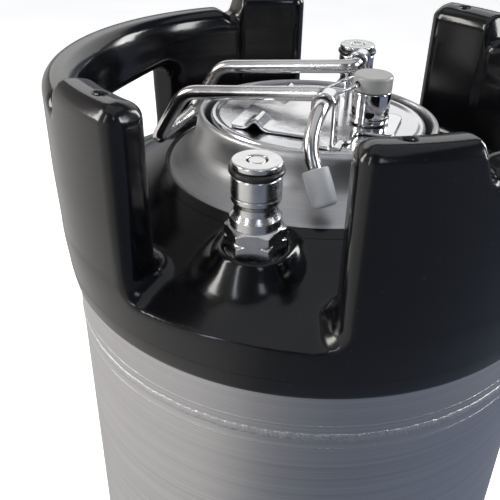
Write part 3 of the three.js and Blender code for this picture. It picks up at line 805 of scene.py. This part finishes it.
def make_bracket():
    step = 0.5
    ends = ((-31, -34.2, PLATE_LOW), (36, 34.2, AXLE.z + 5))
    bracket = field_mesh("spring_plate", bracket_field, *ends, step, 40)
    settle(bracket, PLATE_STEEL, "lid", "polished_steel", "bail_bracket")
    facing_out(bracket)


# ---- bail -------------------------------------------------------------------------------------------------
FOOT_LOW = Vector((20.4, -59.4, SEAM + 71))
FOOT_HIGH = Vector((14.2, -54.2, SEAM + 82.6))


def make_bail():
    half = [
        FOOT_HIGH.lerp(FOOT_LOW, 0.55),
        FOOT_HIGH.lerp(FOOT_LOW, -0.6),
        Vector((AXLE.x, -41, AXLE.z)),
        Vector((AXLE.x, -20, AXLE.z)),
        Vector((-53.5, -20, SEAM + 92.4)),
        Vector((-68, -20, SEAM + 68.5)),
    ]
    other = [Vector((p.x, -p.y, p.z)) for p in reversed(half)]
    wire = sweep("bail_rod", bent(half + other, 6, 12), WIRE_R, 28)
    settle(wire, WIRE_STEEL, "bail", "polished_steel", "bail_wire")
    for name, side in (("gas_side", 1), ("liquid_side", -1)):
        make_foot(name, side)


def make_foot(name, side):
    """A moulded foot with a socket for the wire, slightly tapered, its rims rounded."""
    flip = Vector((1, side, 1))
    bottom, top = FOOT_LOW * flip, FOOT_HIGH * flip
    length = (top - bottom).length
    deep = 0.42 * length
    outline = [
        (0, 0), (4.75, 0, 1.8), (5.1, length * 0.5, 0.2), (5.0, length, 0.6), (3.55, length, 0.4),
        (3.45, deep, 0.3), (0, deep),
    ]
    foot = turned(f"{name}_plastic_foot", outline, segments=64)
    turn = (top - bottom).normalized().to_track_quat("Z", "Y").to_matrix().to_4x4()
    foot.data.transform(Matrix.Translation(bottom * MM) @ turn)
    settle(foot, FOOT, "bail", "foot_rubber", f"{name}_foot")


# ---- relief valve -----------------------------------------------------------------------------------------
def relief_field(x, y, z):
    x = x - RELIEF_X
    h = z - RELIEF_Z
    r = np.hypot(x, y)
    height = CAP_Z - 0.3 - RELIEF_Z
    barrel_r = CAP_R - 0.25 + 0.25 * ease(-h, -2.6, -1.8)
    body = meet(r - barrel_r, np.abs(h - height / 2) - height / 2, 0.45)
    for i in range(3):
        a = math.radians(60 * i + 40)
        across = np.hypot(-x * math.sin(a) + y * math.cos(a), h - 4.8)
        body = cut(body, across - 1.85, 0.3)
    body = np.maximum(body, -np.maximum(r - 6.6, np.abs(h - 6.8) - 4.4))
    spigot = np.maximum(r - 5.9, np.abs(h + 5) - 6)
    return np.maximum(np.minimum(body, spigot), 2.6 - r)


def cap_field(x, y, z):
    x = x - RELIEF_X
    h = z - CAP_Z
    r = np.hypot(x, y)
    top = CAP_TOP - CAP_Z - 0.0009 * r**2
    cap = meet(meet(r - (CAP_R - 0.12), h - top, 1.1), -h, 0.4)
    cross = np.hypot(x - (RING_PIVOT.x - RELIEF_X), z - RING_PIVOT.z) - 1.25
    cap = cut(cap, cross, 0.25)
    return np.maximum(cap, -np.maximum(r - 2.3, h - 4))


def make_relief():
    step = 0.3
    reach = CAP_R + 0.1
    ends = ((RELIEF_X - reach, -reach), (RELIEF_X + reach, reach))
    body = field_mesh("valve_barrel", relief_field, (*ends[0], RELIEF_Z - 11), (*ends[1], CAP_Z), step, 40)
    settle(body, CHROME, "lid", "polished_steel", "relief_body")
    cap = field_mesh("valve_cap", cap_field, (*ends[0], CAP_Z), (*ends[1], CAP_TOP), step, 40)
    settle(cap, CAP, "relief", "cap_plastic", "relief_cap")
    for piece in (body, cap):
        facing_out(piece)
    make_pull_ring()


def make_pull_ring():
    """A split wire ring through the cap, hanging away from it."""
    droop = math.radians(25)

    def at(out, y):
        return Vector((RING_PIVOT.x - out * math.cos(droop), y, RING_PIVOT.z - out * math.sin(droop)))

    half = [at(0, 0.6), at(0, 9.8), at(10, 10.5), at(19.5, 5)]
    other = [Vector((p.x, -p.y, p.z)) for p in reversed(half)]
    ring = sweep("pull_ring_wire", bent(half + other, 2.2, 8), 0.75, 14)
    settle(ring, CHROME, "ring", "polished_steel", "relief_pull_ring")


def dress_cad_nodes():
    """Materials for the plain inner pieces that keep their CAD shapes."""
    finishes = {
        TUBE_STEEL: ("gas_fitting", "liquid_fitting", "gas_dip_tube", "liquid_dip_tube", "relief_nut"),
        CHROME: ("gas_poppet_spring", "liquid_poppet_spring", "relief_spring", "relief_stem"),
        SEAL: (
            "gas_dip_tube_seal", "liquid_dip_tube_seal", "gas_poppet_seal", "liquid_poppet_seal",
            "relief_seal",
        ),
    }
    for material, nodes in finishes.items():
        for node in nodes:
            mesh = frame["nodes"][node].data
            mesh.materials.clear()
            mesh.materials.append(material)


# ---- studio -----------------------------------------------------------------------------------------------
CAMERA_PLACE = (0.06816, -0.27856, 0.70882)  # metres
CAMERA_TURN_TILT_ROLL = (-19.29, 31.58, 1.19)  # degrees
LENS, SENSOR = 49.46, 36


def make_camera():
    """The photographer's view: above the keg's gas side, turned a little to its left."""
    place = Vector(CAMERA_PLACE)
    turn, tilt, roll = (math.radians(v) for v in CAMERA_TURN_TILT_ROLL)
    ahead = Vector((math.sin(turn) * math.cos(tilt), math.cos(turn) * math.cos(tilt), -math.sin(tilt)))
    right = Vector((math.cos(turn), -math.sin(turn), 0))
    up = right.cross(ahead)
    rolled = (math.cos(roll) * right + math.sin(roll) * up, math.cos(roll) * up - math.sin(roll) * right)
    camera = bpy.data.objects.new("camera", bpy.data.cameras.new("camera"))
    camera.data.lens = LENS
    camera.data.sensor_width = SENSOR
    camera.data.clip_start = 0.01
    axes = Matrix((rolled[0], rolled[1], -ahead)).transposed().to_4x4()
    camera.matrix_world = Matrix.Translation(place) @ axes
    bpy.context.scene.collection.objects.link(camera)
    bpy.context.scene.camera = camera


def area_light(name, place, target, size, power, colour):
    light = bpy.data.lights.new(name, "AREA")
    light.shape = "RECTANGLE"
    light.size, light.size_y = size
    light.energy = power
    light.color = colour
    lamp = bpy.data.objects.new(name, light)
    lamp.location = place
    lamp.visible_camera = False
    lamp.rotation_euler = (Vector(target) - Vector(place)).to_track_quat("-Z", "Y").to_euler()
    bpy.context.scene.collection.objects.link(lamp)


def make_floor():
    """A white floor just under the keg. It glows a little, and mirror reflections look through it."""
    size, count, drop = 12000, 24, 0.4
    row = count + 1
    spots = [size * (i / count - 0.5) for i in range(row)]
    points = [(x, y, -drop) for x in spots for y in spots]
    cells = [i * row + j for i in range(count) for j in range(count)]
    floor = make_mesh("floor", points, [(c, c + row, c + row + 1, c + 1) for c in cells])
    m = Nodes("floor_paint")
    cloud = m.noise(3, 3)
    m.finish(m.ramp(cloud, (0.3, 0.78), (0.7, 0.80)), m.span(cloud, 0.75, 0.85), specular=0.2)
    m.feed(m.shader.inputs["Emission Color"], m.ramp(cloud, (0.3, 0.96), (0.7, 1.0)))
    m.shader.inputs["Emission Strength"].default_value = 0.8
    floor.data.materials.append(m.material)
    floor.visible_glossy = False


def make_world():
    """A studio that is bright and warm to the keg's left, and dim and cool to its right and overhead.

    The camera sees plain white behind the keg.
    """
    world = bpy.data.worlds.new("studio")
    world.use_nodes = True
    bpy.context.scene.world = world
    bpy.context.scene.view_settings.view_transform = "Standard"
    tree = world.node_tree
    background = next(n for n in tree.nodes if n.type == "BACKGROUND")

    def new(kind, **settings):
        node = tree.nodes.new(kind)
        for key, value in settings.items():
            setattr(node, key, value)
        return node

    def toward(direction, *stops):
        """Colours by how far a ray heads one way, from -1 away from it to 1 along it."""
        dot = new("ShaderNodeVectorMath", operation="DOT_PRODUCT")
        tree.links.new(new("ShaderNodeTexCoord").outputs["Generated"], dot.inputs[0])
        dot.inputs[1].default_value = direction
        half = new("ShaderNodeMath", operation="MULTIPLY_ADD")
        tree.links.new(dot.outputs["Value"], half.inputs[0])
        half.inputs[1].default_value = 0.5
        half.inputs[2].default_value = 0.5
        ramp = new("ShaderNodeValToRGB")
        ramp.color_ramp.interpolation = "EASE"
        tree.links.new(half.outputs[0], ramp.inputs[0])
        while len(ramp.color_ramp.elements) < len(stops):
            ramp.color_ramp.elements.new(0.5)
        for element, (position, colour) in zip(ramp.color_ramp.elements, stops):
            element.position = (position + 1) / 2
            element.color = (*colour, 1)
        return ramp.outputs["Color"]

    def multiply(a, b):
        node = new("ShaderNodeMix", data_type="RGBA", blend_type="MULTIPLY")
        node.inputs["Factor"].default_value = 1
        colours = [s for s in node.inputs if s.enabled and s.name in "AB"]
        tree.links.new(a, colours[0])
        tree.links.new(b, colours[1])
        return next(s for s in node.outputs if s.enabled)

    side = toward(
        (-0.94, -0.33, 0), (-1, (0.20, 0.235, 0.31)), (-0.2, (0.17, 0.195, 0.25)), (0.15, (0.24, 0.25, 0.28)),
        (0.6, (0.78, 0.755, 0.735)), (1, (1, 0.97, 0.94)),
    )
    height = toward(
        (0, 0, 1), (-1, (0.9, 0.9, 0.9)), (0.05, (1, 1, 1)), (0.3, (0.5, 0.5, 0.5)), (1, (0.34, 0.34, 0.35)),
    )
    lit = multiply(side, height)
    seen = new("ShaderNodeMix", data_type="RGBA")
    tree.links.new(new("ShaderNodeLightPath").outputs["Is Camera Ray"], seen.inputs["Factor"])
    ends = [s for s in seen.inputs if s.enabled and s.name in "AB"]
    tree.links.new(lit, ends[0])
    ends[1].default_value = (1, 1, 1, 1)
    tree.links.new(next(s for s in seen.outputs if s.enabled), background.inputs["Color"])
    background.inputs["Strength"].default_value = 1


def make_lights():
    centre = (0, 0, 0.58)  # the keg's neck
    area_light("window", (-1.3, -0.55, 1.15), centre, (0.4, 1.0), 17, (1, 0.97, 0.93))
    area_light("front_strip", (-0.55, -1.3, 1.25), centre, (0.12, 0.9), 3, (0.86, 0.92, 1))
    area_light("ceiling", (0.1, 0.0, 2.3), centre, (2.2, 2.2), 9, (0.97, 0.98, 1))
    area_light("back_wall", (-0.4, 1.7, 1.5), centre, (2.4, 1.0), 9, (1, 0.99, 0.97))
    area_light("right_window", (1.4, 0.15, 0.98), centre, (0.35, 0.75), 13, (1, 0.99, 0.98))
    area_light("right_back_window", (0.9, 1.05, 1.0), centre, (0.35, 0.75), 13, (1, 0.99, 0.98))
    area_light("front_right", (0.8, -1.2, 1.5), centre, (0.25, 0.5), 1.6, (0.86, 0.92, 1))


make_camera()
make_vessel()
make_top_boot()
make_flash()
make_bottom_boot()
make_post("gas", -POST_Y, True)
make_post("liquid", POST_Y, False)
make_lid()
make_bracket()
make_bail()
make_relief()
dress_cad_nodes()
make_floor()
make_world()
make_lights()
